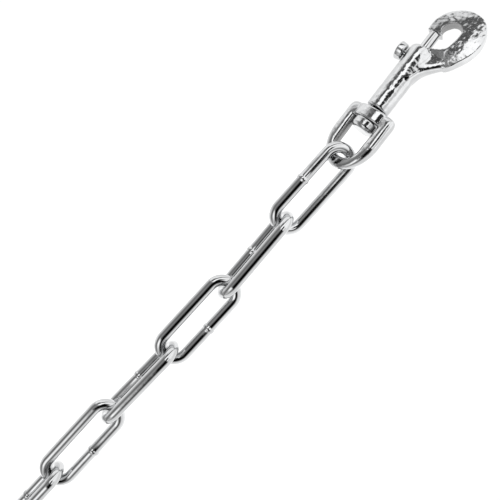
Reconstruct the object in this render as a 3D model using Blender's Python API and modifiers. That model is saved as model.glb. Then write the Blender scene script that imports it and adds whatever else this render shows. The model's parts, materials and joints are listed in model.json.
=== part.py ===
"""One metre of welded long-link steel chain with a swivel bolt snap on one end.

The chain lies on a level floor at z = 0 and runs along X, with the snap at the +X end. Its links lean to
either side in turn and share one height. Every size is in metres.
"""
import math

import bmesh
import bpy
from mathutils import Matrix, Vector

MM = 0.001
WELD_DISTANCE = 0.001 * MM

# Chain
WIRE = 4.0 * MM
LINK_INNER_LENGTH = 30.5 * MM
LINK_OUTER_WIDTH = 14.0 * MM
LINK_COUNT = 31
LINK_LEAN = math.radians(45.0)
FIRST_LINK_LEAN = math.radians(50.0)
CONTACT_GAP = 0.4 * MM
BOW_STEPS = 8
# Headings of the snap and the first links, in degrees; the rest lie straight
SNAP_HEADING = 6.0
LINK_HEADINGS = (1.2, 3.0, 0.4, -1.2, 0.6)

# Snap body, along its own axis from the barrel's lower end
BARREL_RADIUS = 4.2 * MM
BARREL_LENGTH = 26.0 * MM
BARREL_EDGE = 0.4 * MM
# Rounded shoulder at the barrel's upper end: distance before the end, drop below the barrel's radius (mm)
BARREL_SHOULDER = ((2.0, 0.0), (0.8, 0.4), (0.2, 1.0), (0.0, 1.7))
TENON_RADIUS = 2.0 * MM
RIVET_RADIUS = 4.35 * MM
RIVET_LENGTH = 3.6 * MM
# Rivet head from its foot to its top: share of its length, share of its radius
RIVET_PROFILE = ((0.0, 1.0), (0.45, 1.0), (0.75, 0.88), (1.0, 0.66))
TURNED_SIDES = 24
SNAP_ROLL = math.radians(9.0)
# Hook, as a ring around the centre of its opening
HOOK_CENTRE = (33.5 * MM, -3.9 * MM)
HOOK_STEP = 10.0
HOOK_SIDES = 12
HOOK_SECTION_POWER = 2.5
# Around the ring from the barrel past the nose to the beak: degrees, inner radius, outer radius, thickness (mm)
HOOK_STATIONS = (
    (-25.0, 7.2, 11.0, 7.2),
    (0.0, 6.0, 10.7, 7.4),
    (16.0, 5.5, 11.4, 7.0),
    (28.0, 5.2, 12.1, 6.6),
    (41.0, 4.8, 11.75, 6.2),
    (55.0, 4.2, 11.1, 5.9),
    (73.0, 3.9, 11.25, 5.7),
    (91.0, 3.9, 11.8, 5.6),
    (110.0, 4.2, 12.5, 5.6),
    (126.0, 4.8, 12.85, 5.6),
    (141.0, 5.1, 12.9, 5.6),
    (164.0, 5.2, 11.75, 5.6),
    (185.0, 4.7, 10.0, 5.7),
    (203.0, 3.9, 8.85, 5.8),
    (226.0, 3.3, 7.95, 6.0),
    (252.0, 2.7, 7.25, 6.2),
    (270.0, 2.1, 6.95, 6.3),
    (292.0, 1.5, 7.1, 6.4),
)
# Root that widens from the barrel to the hook: place along the barrel, reach to the hook's side (mm)
ROOT_STATIONS = ((13.5, 3.9), (14.8, 4.05), (16.7, 4.6), (18.5, 5.6), (20.8, 7.6), (22.8, 9.6), (25.2, 11.3))
ROOT_SIDES = 16
ROOT_FIRST_HALF_THICKNESS = 4.0 * MM
ROOT_LAST_HALF_THICKNESS = 3.0 * MM
# Gap that the bolt closes, from the barrel's end to the beak
BEAK_END = 32.3 * MM
GATE_LOW_Y = -0.6 * MM
GATE_HIGH_Y = 8.0 * MM
GATE_HALF_HEIGHT = 5.0 * MM

# Bolt
PIN_RADIUS = 1.95 * MM
PIN_FRONT = 32.4 * MM
PIN_REAR = 15.4 * MM
PIN_SIDES = 20
BOLT_TRAVEL = 6.6 * MM
BOLT_EASE = 0.3 * MM
BORE_RADIUS = 2.2 * MM
BORE_BOTTOM = 3.0 * MM
STUD_PLACE = 21.6 * MM
STEM_RADIUS = 1.1 * MM
HEAD_RADIUS = 3.3 * MM
HEAD_FOOT = 4.6 * MM
HEAD_TOP = 7.3 * MM
HEAD_DOME = 0.6 * MM
SLOT_LOW_Y = 1.0 * MM
SLOT_HIGH_Y = 6.0 * MM
RUNNING_GAP = 0.3 * MM

# Bolt spring
SPRING_WIRE = 0.5 * MM
SPRING_RADIUS = 1.65 * MM
SPRING_TURNS = 7
SPRING_STEPS = 10

# Swivel eye, from the barrel's lower end
EYE_TOP = -0.35 * MM
EYE_HUB_RADIUS = 4.1 * MM
EYE_HUB_LENGTH = 4.65 * MM
EYE_HOLE_RADIUS = 2.3 * MM
EYE_OUTER_WAIST = -11.0 * MM
EYE_INNER_WAIST = -15.5 * MM
EYE_INNER_HALF_WIDTH = 4.6 * MM
EYE_OUTER_HALF_WIDTH = 9.6 * MM
EYE_SHOULDER_HALF_WIDTH = 9.5 * MM
EYE_BOW_INNER = -19.8 * MM
EYE_BOW_OUTER = -24.3 * MM
EYE_BAR_WIDTH = 4.6 * MM
EYE_INNER_CORNER = 0.8 * MM
EYE_SHOULDER_POWER = 5.0
EYE_LIMB_HALF_THICKNESS = 2.1 * MM
EYE_BOW_HALF_THICKNESS = 1.3 * MM
EYE_SWELL_POWER = 4
EYE_BOW_STEPS = 9
EYE_SHOULDER_STEPS = 6
EYE_SIDES = 14
EYE_SECTION_POWER = 2.3
EYE_LEAN = math.radians(-5.0)

PLATED_STEEL = ((0.78, 0.79, 0.80, 1.0), 0.12)
PLATED_CASTING = ((0.74, 0.75, 0.76, 1.0), 0.2)
SPRING_STEEL = ((0.45, 0.45, 0.46, 1.0), 0.3)


def clear_objects():
    for item in list(bpy.data.objects):
        bpy.data.objects.remove(item, do_unlink=True)


def new_collection(name):
    collection = bpy.data.collections.new(name)
    bpy.context.scene.collection.children.link(collection)
    return collection


def new_material(name, look):
    colour, roughness = look
    material = bpy.data.materials.new(name)
    material.use_nodes = True
    shader = material.node_tree.nodes["Principled BSDF"]
    shader.inputs["Base Color"].default_value = colour
    shader.inputs["Metallic"].default_value = 1.0
    shader.inputs["Roughness"].default_value = roughness
    return material


def new_object(name, data, collection, material=None, parent=None):
    item = bpy.data.objects.new(name, data)
    collection.objects.link(item)
    item.parent = parent
    if material:
        data.materials.append(material)
    return item


def new_cutter(name, mesh, collection, parent):
    cutter = new_object(name, mesh, collection, parent=parent)
    cutter.hide_render = True
    cutter.display_type = "WIRE"
    return cutter


def mesh_from(name, shape):
    """Write a bmesh to a new mesh, its faces pointing out."""
    bmesh.ops.recalc_face_normals(shape, faces=shape.faces)
    mesh = bpy.data.meshes.new(name)
    shape.to_mesh(mesh)
    shape.free()
    return mesh


def smooth(mesh, degrees=35.0):
    mesh.shade_smooth()
    mesh.set_sharp_from_angle(angle=math.radians(degrees))


def profile_mesh(name, profile):
    """Half outline of a turned shape, its (x, radius) pairs running from the top of +X down the outer side."""
    mesh = bpy.data.meshes.new(name)
    points = [(place, radius, 0.0) for place, radius in profile]
    mesh.from_pydata(points, [(index, index + 1) for index in range(len(points) - 1)], [])
    return mesh


def turn_about_x(item, sides):
    screw = item.modifiers.new("turn", "SCREW")
    screw.axis = "X"
    screw.steps = sides
    screw.render_steps = sides
    screw.use_merge_vertices = True
    screw.merge_threshold = WELD_DISTANCE
    screw.use_smooth_shade = True


def turned_cutter(name, profile, sides, collection, parent):
    cutter = new_cutter(name, profile_mesh(name, profile), collection, parent)
    turn_about_x(cutter, sides)
    return cutter


def rod_profile(low, high, radius, ease=0.0):
    """Half outline of a plain rod with its edges eased."""
    points = [(high, 0.0), (high, radius - ease), (high - ease, radius), (low + ease, radius),
              (low, radius - ease), (low, 0.0)]
    return points if ease else [points[0], points[1], points[4], points[5]]


def box_mesh(name, low, high):
    shape = bmesh.new()
    low, high = Vector(low), Vector(high)
    size = high - low
    place = Matrix.Translation((low + high) / 2) @ Matrix.Diagonal((*size, 1.0))
    bmesh.ops.create_cube(shape, size=1.0, matrix=place)
    return mesh_from(name, shape)


def add_boolean(item, operation, other):
    modifier = item.modifiers.new(f"{operation.lower()} {other.name}", "BOOLEAN")
    modifier.operation = operation
    modifier.object = other
    modifier.solver = "EXACT"


def wire_curve(name, points, radius, cyclic, resolution=2):
    """A poly curve with a round wire."""
    curve = bpy.data.curves.new(name, "CURVE")
    curve.dimensions = "3D"
    curve.bevel_depth = radius
    curve.bevel_resolution = resolution
    curve.use_fill_caps = not cyclic
    spline = curve.splines.new("POLY")
    spline.points.add(len(points) - 1)
    for point, place in zip(spline.points, points):
        point.co = (*place, 1.0)
    spline.use_cyclic_u = cyclic
    spline.use_smooth = True
    return curve


def bow_points(centre_x, radius, start, steps):
    """Points on a half circle in the link's plane, from the angle start."""
    points = []
    for step in range(steps + 1):
        angle = start + math.pi * step / steps
        points.append((centre_x + radius * math.cos(angle), radius * math.sin(angle), 0.0))
    return points


def bow_radius():
    return (LINK_OUTER_WIDTH - WIRE) / 2


def link_curve():
    """One link in its own plane, with the wire that it hangs on at the origin and its far bow at -X."""
    radius = bow_radius()
    front = WIRE + CONTACT_GAP - radius
    rear = front - (LINK_INNER_LENGTH + WIRE - 2 * radius)
    points = bow_points(front, radius, -math.pi / 2, BOW_STEPS)
    points += bow_points(rear, radius, math.pi / 2, BOW_STEPS)
    return wire_curve("link", points, WIRE / 2, cyclic=True)


def link_pitch():
    """Distance from one contact to the next along a straight chain."""
    return LINK_INNER_LENGTH - CONTACT_GAP


def axis_height():
    """Height of the chain's axis over the floor when each link lies on its lower leg."""
    return WIRE / 2 + bow_radius() * math.sin(LINK_LEAN)


def heading_of(index):
    """Heading of a link about Z; the first link has index 0."""
    if index < len(LINK_HEADINGS):
        return math.radians(LINK_HEADINGS[index])
    return 0.0


def lean_of(index):
    if index == 0:
        return FIRST_LINK_LEAN
    return LINK_LEAN if index % 2 == 0 else -LINK_LEAN


def snap_matrix():
    """World placement of the snap, whose origin is the middle of the barrel's lower end."""
    place = Vector((0.0, 0.0, axis_height()))
    return Matrix.Translation(place) @ Matrix.Rotation(math.radians(SNAP_HEADING), 4, "Z")


def eye_bow_middle():
    """Middle of the eye's bow, on which the first link turns."""
    return Vector(((EYE_BOW_INNER + EYE_BOW_OUTER) / 2, 0.0, 0.0))


def first_link_slack():
    """How far the first link's origin stands off that middle, so that its bow turns around it."""
    bow_centre = WIRE + CONTACT_GAP - bow_radius()
    return -bow_centre


def link_matrices():
    """World placements of the links' contacts, each on the wire of the link before."""
    contact = snap_matrix() @ eye_bow_middle()
    matrices = []
    for index in range(LINK_COUNT):
        turn = Matrix.Rotation(heading_of(index), 4, "Z")
        matrices.append(Matrix.Translation(contact) @ turn @ Matrix.Rotation(lean_of(index), 4, "X"))
        reach = link_pitch() - (first_link_slack() if index == 0 else 0.0)
        contact = contact + turn @ Vector((-reach, 0.0, 0.0))
    return matrices


def barrel_profile():
    """Half outline of barrel, tenon and rivet head, turned as one."""
    profile = [(BARREL_LENGTH, 0.0)]
    profile += [(BARREL_LENGTH - before * MM, BARREL_RADIUS - drop * MM)
                for before, drop in reversed(BARREL_SHOULDER)]
    profile += [(BARREL_EDGE, BARREL_RADIUS), (0.0, BARREL_RADIUS - BARREL_EDGE), (0.0, TENON_RADIUS)]
    foot = EYE_TOP - EYE_HUB_LENGTH - RUNNING_GAP
    profile.append((foot, TENON_RADIUS))
    profile += [(foot - along * RIVET_LENGTH, wide * RIVET_RADIUS) for along, wide in RIVET_PROFILE]
    profile.append((foot - RIVET_LENGTH, 0.0))
    return profile


def station_at(stations, place):
    """Values of a table of stations at a place between them."""
    for near, far in zip(stations, stations[1:]):
        if place <= far[0]:
            break
    share = (place - near[0]) / (far[0] - near[0])
    return [MM * (low + (high - low) * share) for low, high in zip(near[1:], far[1:])]


def superellipse(sides, power):
    """Points of a rounded section of unit half width and half height, as (across, up) pairs."""
    points = []
    for step in range(sides):
        around = math.tau * step / sides
        across = math.copysign(abs(math.cos(around)) ** (2 / power), math.cos(around))
        up = math.copysign(abs(math.sin(around)) ** (2 / power), math.sin(around))
        points.append((across, up))
    return points


def section_between(inner, outer, half_thickness, sides, power):
    """A rounded section whose width reaches from one point of the XY plane to another."""
    middle = [(near + far) / 2 for near, far in zip(inner, outer)]
    half = [(far - near) / 2 for near, far in zip(inner, outer)]
    return [(middle[0] + half[0] * across, middle[1] + half[1] * across, half_thickness * up)
            for across, up in superellipse(sides, power)]


def loft(name, sections, closed=False):
    """Join closed sections of equally many points into one skin, capped or closed to a ring."""
    shape = bmesh.new()
    rings = [[shape.verts.new(point) for point in section] for section in sections]
    following = rings[1:] + rings[:1] if closed else rings[1:]
    for near, far in zip(rings, following):
        for side in range(len(near)):
            other = (side + 1) % len(near)
            shape.faces.new((near[side], near[other], far[other], far[side]))
    if not closed:
        shape.faces.new(rings[0])
        shape.faces.new(rings[-1])
    return mesh_from(name, shape)


def hook_section(angle):
    """Points of the hook's section in the plane through the opening's axis at an angle in degrees."""
    inner, outer, thickness = station_at(HOOK_STATIONS, angle)
    turn = math.radians(angle)
    ends = [(HOOK_CENTRE[0] - reach * math.cos(turn), HOOK_CENTRE[1] - reach * math.sin(turn))
            for reach in (inner, outer)]
    return section_between(*ends, thickness / 2, HOOK_SIDES, HOOK_SECTION_POWER)


def hook_mesh():
    """The hook as a loft of rounded sections around its opening, from inside the barrel to the beak."""
    first, last = HOOK_STATIONS[0][0], HOOK_STATIONS[-1][0]
    steps = round((last - first) / HOOK_STEP)
    return loft("hook", [hook_section(first + (last - first) * step / steps) for step in range(steps + 1)])


def root_mesh():
    """The flare from the barrel's side to the hook, as sections across the barrel."""
    sections = []
    for index, (place, reach) in enumerate(ROOT_STATIONS):
        share = index / (len(ROOT_STATIONS) - 1)
        half_thickness = (1 - share) * ROOT_FIRST_HALF_THICKNESS + share * ROOT_LAST_HALF_THICKNESS
        near_side = ROOT_STATIONS[0][1] * MM
        sections.append(section_between((place * MM, -reach * MM), (place * MM, near_side),
                                        half_thickness, ROOT_SIDES, 2.0))
    return loft("root", sections)


def add_snap_body(parts, cutters, parent, material):
    body = new_object("snap_body", profile_mesh("snap_body", barrel_profile()), parts, material, parent)
    turn_about_x(body, TURNED_SIDES)
    hook = new_cutter("hook_form", hook_mesh(), cutters, parent)
    root = new_cutter("root_form", root_mesh(), cutters, parent)
    gate = new_cutter("gate_gap", box_mesh("gate_gap", (BARREL_LENGTH, GATE_LOW_Y, -GATE_HALF_HEIGHT),
                                           (BEAK_END, GATE_HIGH_Y, GATE_HALF_HEIGHT)), cutters, parent)
    bore = turned_cutter("bore", rod_profile(BORE_BOTTOM, PIN_FRONT + RUNNING_GAP, BORE_RADIUS),
                         TURNED_SIDES, cutters, parent)
    slot_half = STEM_RADIUS + RUNNING_GAP
    slot = new_cutter("stud_slot", box_mesh("stud_slot",
                                            (STUD_PLACE - BOLT_TRAVEL - slot_half, SLOT_LOW_Y, -slot_half),
                                            (STUD_PLACE + slot_half, SLOT_HIGH_Y, slot_half)), cutters, parent)
    add_boolean(body, "UNION", root)
    add_boolean(body, "UNION", hook)
    for cutter in (gate, bore, slot):
        add_boolean(body, "DIFFERENCE", cutter)
    return body


def add_bolt(parts, cutters, parent, material):
    """The gate pin with its thumb stud."""
    pin = rod_profile(PIN_REAR, PIN_FRONT, PIN_RADIUS, BOLT_EASE)
    bolt = new_object("bolt", profile_mesh("bolt", pin), parts, material, parent)
    turn_about_x(bolt, PIN_SIDES)
    stud_profile = [(HEAD_TOP, 0.0), (HEAD_TOP, HEAD_RADIUS - 2 * HEAD_DOME),
                    (HEAD_TOP - BOLT_EASE / 2, HEAD_RADIUS - HEAD_DOME), (HEAD_TOP - HEAD_DOME, HEAD_RADIUS),
                    (HEAD_FOOT + BOLT_EASE, HEAD_RADIUS), (HEAD_FOOT, HEAD_RADIUS - BOLT_EASE),
                    (HEAD_FOOT, STEM_RADIUS), (0.0, STEM_RADIUS), (0.0, 0.0)]
    stud = turned_cutter("thumb_stud_form", stud_profile, PIN_SIDES, cutters, parent)
    stud.location = (STUD_PLACE, 0.0, 0.0)
    stud.rotation_euler = (0.0, 0.0, math.pi / 2)
    add_boolean(bolt, "UNION", stud)
    return bolt


def add_spring(parts, parent, material):
    """The coil behind the bolt, in the bore."""
    start = BORE_BOTTOM + RUNNING_GAP + SPRING_WIRE / 2
    end = PIN_REAR - RUNNING_GAP - SPRING_WIRE / 2
    count = SPRING_TURNS * SPRING_STEPS
    points = []
    for step in range(count + 1):
        angle = math.tau * step / SPRING_STEPS
        points.append((start + (end - start) * step / count,
                       SPRING_RADIUS * math.cos(angle),
                       SPRING_RADIUS * math.sin(angle)))
    curve = wire_curve("bolt_spring", points, SPRING_WIRE / 2, cyclic=False, resolution=1)
    return new_object("bolt_spring", curve, parts, material, parent)


def eye_bow_stations():
    """Inner point, outer point and half thickness from the bow's middle to the waist, on the +Y side."""
    stations = []
    for step in range(EYE_BOW_STEPS + 1):
        angle = math.pi / 2 * step / EYE_BOW_STEPS
        ahead, aside = math.cos(angle), math.sin(angle)
        inner = (EYE_INNER_WAIST - (EYE_INNER_WAIST - EYE_BOW_INNER) * ahead, EYE_INNER_HALF_WIDTH * aside)
        outer = (EYE_OUTER_WAIST - (EYE_OUTER_WAIST - EYE_BOW_OUTER) * ahead, EYE_OUTER_HALF_WIDTH * aside)
        swell = EYE_LIMB_HALF_THICKNESS - EYE_BOW_HALF_THICKNESS
        stations.append((inner, outer, EYE_BOW_HALF_THICKNESS + swell * aside ** EYE_SWELL_POWER))
    return stations


def eye_shoulder_stations():
    """Stations round the shoulder, fanned out from a point beside the opening's corner."""
    side = EYE_BAR_WIDTH + EYE_INNER_CORNER
    fan = (EYE_TOP - side, EYE_SHOULDER_HALF_WIDTH - side)
    inner_reach = EYE_INNER_CORNER
    stations = []
    for step in range(EYE_SHOULDER_STEPS + 1):
        angle = math.pi / 2 * step / EYE_SHOULDER_STEPS
        up, aside = math.sin(angle), math.cos(angle)
        reach = side / (up ** EYE_SHOULDER_POWER + aside ** EYE_SHOULDER_POWER) ** (1 / EYE_SHOULDER_POWER)
        inner = (fan[0] + inner_reach * up, fan[1] + inner_reach * aside)
        outer = (fan[0] + reach * up, fan[1] + reach * aside)
        stations.append((inner, outer, EYE_LIMB_HALF_THICKNESS))
    return stations


def eye_loop_mesh():
    """The eye's loop as a ring of rounded sections, first the +Y side from the bow to the bar, then back."""
    half = eye_bow_stations() + eye_shoulder_stations()
    mirrored = [((inner[0], -inner[1]), (outer[0], -outer[1]), thickness) for inner, outer, thickness in half]
    stations = half + mirrored[:0:-1]
    return loft("swivel_eye", [section_between(*station, EYE_SIDES, EYE_SECTION_POWER) for station in stations],
                closed=True)


def add_eye(parts, cutters, parent, material):
    """The swivel eye, with the hub that the tenon passes through."""
    eye = new_object("swivel_eye", eye_loop_mesh(), parts, material, parent)
    foot = EYE_TOP - EYE_HUB_LENGTH
    hub = turned_cutter("eye_hub", rod_profile(foot, EYE_TOP, EYE_HUB_RADIUS, BOLT_EASE),
                        TURNED_SIDES, cutters, parent)
    hole = turned_cutter("eye_hole", rod_profile(foot - MM, MM, EYE_HOLE_RADIUS), TURNED_SIDES, cutters, parent)
    add_boolean(eye, "UNION", hub)
    add_boolean(eye, "DIFFERENCE", hole)
    smooth(eye.data)
    return eye


def add_chain(parts, material):
    """The links, of which the first hangs from an empty in the middle of the eye's bow."""
    curve = link_curve()
    curve.materials.append(material)
    matrices = link_matrices()
    first_contact = add_frame("first_contact", matrices[0], parts)
    first = new_object("link_01", curve, parts, parent=first_contact)
    first.location.x = first_link_slack()
    for index, matrix in enumerate(matrices[1:], start=2):
        link = new_object(f"link_{index:02d}", curve, parts)
        link.matrix_world = matrix


def add_frame(name, matrix, collection):
    frame = bpy.data.objects.new(name, None)
    collection.objects.link(frame)
    frame.matrix_world = matrix
    return frame


def centre_on_floor(parts):
    """Move everything so that the origin is under the middle of the object, on the floor."""
    bpy.context.view_layer.update()
    graph = bpy.context.evaluated_depsgraph_get()
    corners = []
    for item in parts.objects:
        if item.type == "EMPTY":
            continue
        evaluated = item.evaluated_get(graph)
        mesh = evaluated.to_mesh()
        corners += [item.matrix_world @ vertex.co for vertex in mesh.vertices]
        evaluated.to_mesh_clear()
    lows = [min(corner[axis] for corner in corners) for axis in range(3)]
    highs = [max(corner[axis] for corner in corners) for axis in range(3)]
    shift = Vector((-(lows[0] + highs[0]) / 2, -(lows[1] + highs[1]) / 2, -lows[2]))
    for item in parts.objects:
        if item.parent is None:
            item.location += shift
    bpy.context.view_layer.update()


def build():
    clear_objects()
    parts = new_collection("chain_with_bolt_snap")
    cutters = new_collection("cutters")
    steel = new_material("plated steel", PLATED_STEEL)
    casting = new_material("plated casting", PLATED_CASTING)
    bolt_metal = new_material("plated bolt", PLATED_STEEL)
    spring_metal = new_material("spring steel", SPRING_STEEL)
    eye_metal = new_material("plated eye", PLATED_CASTING)
    snap = add_frame("snap_frame", snap_matrix() @ Matrix.Rotation(SNAP_ROLL, 4, "X"), parts)
    swivel = add_frame("swivel_frame", snap_matrix() @ Matrix.Rotation(EYE_LEAN, 4, "X"), parts)
    bpy.context.view_layer.update()
    add_snap_body(parts, cutters, snap, casting)
    add_bolt(parts, cutters, snap, bolt_metal)
    add_spring(parts, snap, spring_metal)
    add_eye(parts, cutters, swivel, eye_metal)
    add_chain(parts, steel)
    centre_on_floor(parts)


build()
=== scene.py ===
"""Looks of a plated, welded chain with a swivel bolt snap at its end.

Sizes are in metres. The snap is modelled along its own axis, from the middle of the barrel's lower
end, and a link around its own middle. Each finished piece is then put where the chain's solids lie.
"""

import json
import math

import bpy
from mathutils import Matrix, Vector


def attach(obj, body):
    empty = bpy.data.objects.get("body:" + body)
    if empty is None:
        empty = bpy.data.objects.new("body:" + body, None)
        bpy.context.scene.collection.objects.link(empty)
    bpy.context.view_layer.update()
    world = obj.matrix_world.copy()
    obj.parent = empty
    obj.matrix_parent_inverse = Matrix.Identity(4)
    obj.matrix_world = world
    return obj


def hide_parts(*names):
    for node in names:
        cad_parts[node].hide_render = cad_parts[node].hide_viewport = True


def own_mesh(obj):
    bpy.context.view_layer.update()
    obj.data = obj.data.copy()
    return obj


bl_info = {
    "name": "Chain with bolt snap",
    "version": (1, 0, 0),
    "blender": (4, 5, 0),
    "location": "3D View > Sidebar > Chain",
    "description": "Models a welded chain with a swivel bolt snap and lights it",
    "category": "Add Mesh",
}

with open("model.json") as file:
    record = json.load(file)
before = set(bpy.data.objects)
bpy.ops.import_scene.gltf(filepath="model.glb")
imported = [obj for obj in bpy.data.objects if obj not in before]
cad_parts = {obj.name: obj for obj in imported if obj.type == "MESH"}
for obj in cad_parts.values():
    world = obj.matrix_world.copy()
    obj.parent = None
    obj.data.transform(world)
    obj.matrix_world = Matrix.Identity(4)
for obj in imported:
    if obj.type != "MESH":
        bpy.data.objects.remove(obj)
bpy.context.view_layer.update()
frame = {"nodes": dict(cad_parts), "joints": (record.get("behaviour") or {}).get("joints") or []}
JOINTS = {joint["name"]: joint for joint in frame["joints"]}
LINK_NAMES = sorted(name for name in frame["nodes"] if name.startswith("link_"))

MM = 0.001

# Hook ring around the middle of its opening: degrees, inner radius, outer radius, thickness (mm)
HOOK_MIDDLE = (33.5, -3.9)
HOOK_STATIONS = (
    (-25.0, 7.2, 11.0, 7.2),
    (0.0, 6.0, 10.7, 7.4),
    (16.0, 5.5, 11.4, 7.0),
    (28.0, 5.2, 12.1, 6.6),
    (41.0, 4.8, 11.75, 6.2),
    (55.0, 4.2, 11.1, 5.9),
    (73.0, 3.9, 11.25, 5.7),
    (91.0, 3.9, 11.8, 5.6),
    (110.0, 4.2, 12.5, 5.6),
    (126.0, 4.8, 12.85, 5.6),
    (141.0, 5.1, 12.9, 5.6),
    (164.0, 5.2, 11.75, 5.6),
    (185.0, 4.7, 10.0, 5.7),
    (203.0, 3.9, 8.85, 5.8),
    (226.0, 3.3, 7.95, 6.0),
    (252.0, 2.7, 7.25, 6.2),
    (270.0, 2.1, 6.95, 6.3),
    (292.0, 1.5, 7.1, 6.4),
)
HOOK_STEP = 5.0
HOOK_INNER_ROUND = 0.6 * MM
HOOK_OUTER_ROUND = 1.2 * MM
# Balls that the hook's front and back are cut to: radius, half height, lift (mm), lean
HOOK_DOMES = (
    (16.4, 4.3, -2.0, math.radians(-6.0)),
    (16.3, 4.15, 1.2, 0.0),
)
# The far side of the ring is lower at its outer edge: degrees where that begins and is reached, share left
HOOK_FAR_SIDE = (185.0, 225.0, 0.6)

# Root from the barrel to the hook: place along the barrel, reach to the hook's side (mm)
ROOT_STATIONS = ((13.5, 3.9), (14.8, 4.05), (16.7, 4.6), (18.5, 5.6), (20.8, 7.6), (22.8, 9.6), (25.2, 11.3))
ROOT_STEP = 0.9
ROOT_HALF_THICKNESS = (4.0 * MM, 1.8 * MM)
ROOT_START = 1.03 * MM
ROOT_INNER_ROUND = 0.3 * MM
ROOT_ROUND = 1.3 * MM
ROOT_EDGE_SHARE = 0.95

# Where the barrel, the root and the hook flow into each other: two corners (mm), but not the bore's wall
ROOT_SOFT_LOW = (12.8, -10.0)
ROOT_SOFT_HIGH = (25.5, 0.6)
ROOT_SOFT_ROUNDS = 90
BORE_WALL = 2.7 * MM

# Gap that the bolt closes and the barrel's slot for the thumb stud, each by two corners, and the bore's ends
GATE = ((26.0 * MM, -0.6 * MM), (32.3 * MM, 8.0 * MM))
GATE_HALF_HEIGHT = 5 * MM
SLOT = ((13.6 * MM, 1.0 * MM), (23.0 * MM, 6.0 * MM))
SLOT_HALF_WIDTH = 1.4 * MM
BORE = (3.0 * MM, 32.7 * MM)
BORE_RADIUS = 2.2 * MM

# Barrel and the tenon's riveted head: roundings of their rims, and the play between the head and the eye
BARREL_ROUNDS = (0.6 * MM, 1.8 * MM)
RIVET_ROUNDS = (1.5 * MM, 0.3 * MM)
RIVET_PLAY = 0.3 * MM

# Bolt: roundings of the pin and of the stud's head, whose foot is a little narrower
PIN_ROUND = 0.3 * MM
STUD_ROUND = 0.6 * MM
STUD_FOOT_SHARE = 0.87
STEM_SIDES = 32
STEM_OVERLAP = 0.5 * MM
BOLT_SMOOTH_UNDER = 30.0

# Bolt spring: its two ends along the snap and its turns
SPRING_ENDS = (3.3 * MM, 15.1 * MM)
SPRING_TURNS = 7
SPRING_STEPS = 24
SPRING_WIRE_SIDES = 10
SPRING_SMOOTH_UNDER = 40.0

# Swivel eye, below the barrel's lower end
EYE_TOP = -0.35 * MM
EYE_HUB_LENGTH = 4.65 * MM
EYE_HUB_STRETCH = 1.55
EYE_HOLE_RADIUS = 2.3 * MM
EYE_HUB_DROP = 0.2 * MM
EYE_HUB_ROUNDS = (0.4 * MM, 0.6 * MM)
EYE_INNER_WAIST = -15.5 * MM
EYE_OUTER_WAIST = -11.0 * MM
EYE_INNER_END = 19.8 * MM
EYE_OUTER_END = 24.3 * MM
EYE_LIMB_ROUND = 0.97
EYE_SHOULDER_ROUND = 0.85
EYE_INNER_CORNER = 0.8 * MM
EYE_SHOULDER_POWER = 5.0
EYE_BOW_STEPS = 16
EYE_SHOULDER_STEPS = 10

# Link: sides of its wire, steps round a bow and along half a leg, and how near its doubled points lie
WIRE_SIDES = 24
BOW_STEPS = 24
LEG_STEPS = 3
DOUBLES_WITHIN = 0.01 * MM

# Castings: the skin's smoothing, and the ripple's two sizes, each with its share of the depth
SOFTEN_ROUNDS = 3
EYE_SOFTEN_ROUNDS = 8
EYE_GRAIN_SHARE = 0.75
RIPPLES = ((2.4 * MM, 1.0), (1.0 * MM, 0.35))
EYE_RIPPLE = (3.0 * MM, 0.5)

# Sides of the castings' openings, which get painted shade, a darker tone for the shade that falls there, and
# a
# softer gloss: how near they lie to the middle of the hook's opening and to the edge of the eye's, how
# squarely they face it, and the painted shade's tone and the roughness that they get
SHADE_AND_DULL_MARK = "painted_shade_hollow"
HOLLOW_REACH = 6.4 * MM
HOLLOW_MARGIN = 0.8 * MM
HOLLOW_FACING = 0.6
HOLLOW_PAINTED_SHADE = 0.3
HOLLOW_GLOSS = 0.35

# Relief of each finish: the scale per metre and the depth of its soft lumps, and of its fine marks
WIRE_RELIEF = ((260.0, 0.000020), (1900.0, 0.0000025))
CASTING_RELIEF = ((620.0, 0.00006), (1700.0, 0.000012))
TURNED_RELIEF = ((300.0, 0.000012), (2400.0, 0.000003))
SPRING_RELIEF = ((500.0, 0.00001), (3000.0, 0.000004))

# Patches of tone and of gloss: the part of a noise's range that is used, their scales beside the lumps' one,
# and the least and the most roughness beside the finish's own
NOISE_RANGE = (0.3, 0.7)
TONE_SCALE = 0.5
GLOSS_SCALE = 1.7
GLOSS_LOW, GLOSS_HIGH = 0.6, 1.5

# Sides of a turned form, segments of a rounded rim and of a rounded long edge, the most of a section that a
# rounding takes, and how near a point lies to the place that it is looked for at
TURNED_SIDES = 64
RIM_SEGMENTS = 5
LONG_EDGE_SEGMENTS = 6
ROUNDING_LIMIT = 0.45
TOUCH = 1e-6

# The floor's dark base under its own light, and its brighter patches: how much more, and the edges that
# they rise over
FLOOR_BASE = 0.02
FLOOR_GLOW = 1.02
FLOOR_GLOWS = (
    (0.38, ("X", 0.455, 0.475), ("Y", -0.008, -0.014)),
    (0.26, ("X", 0.455, 0.440), ("Y", -0.016, -0.009), ("Y", 0.016, 0.009)),
)

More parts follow.
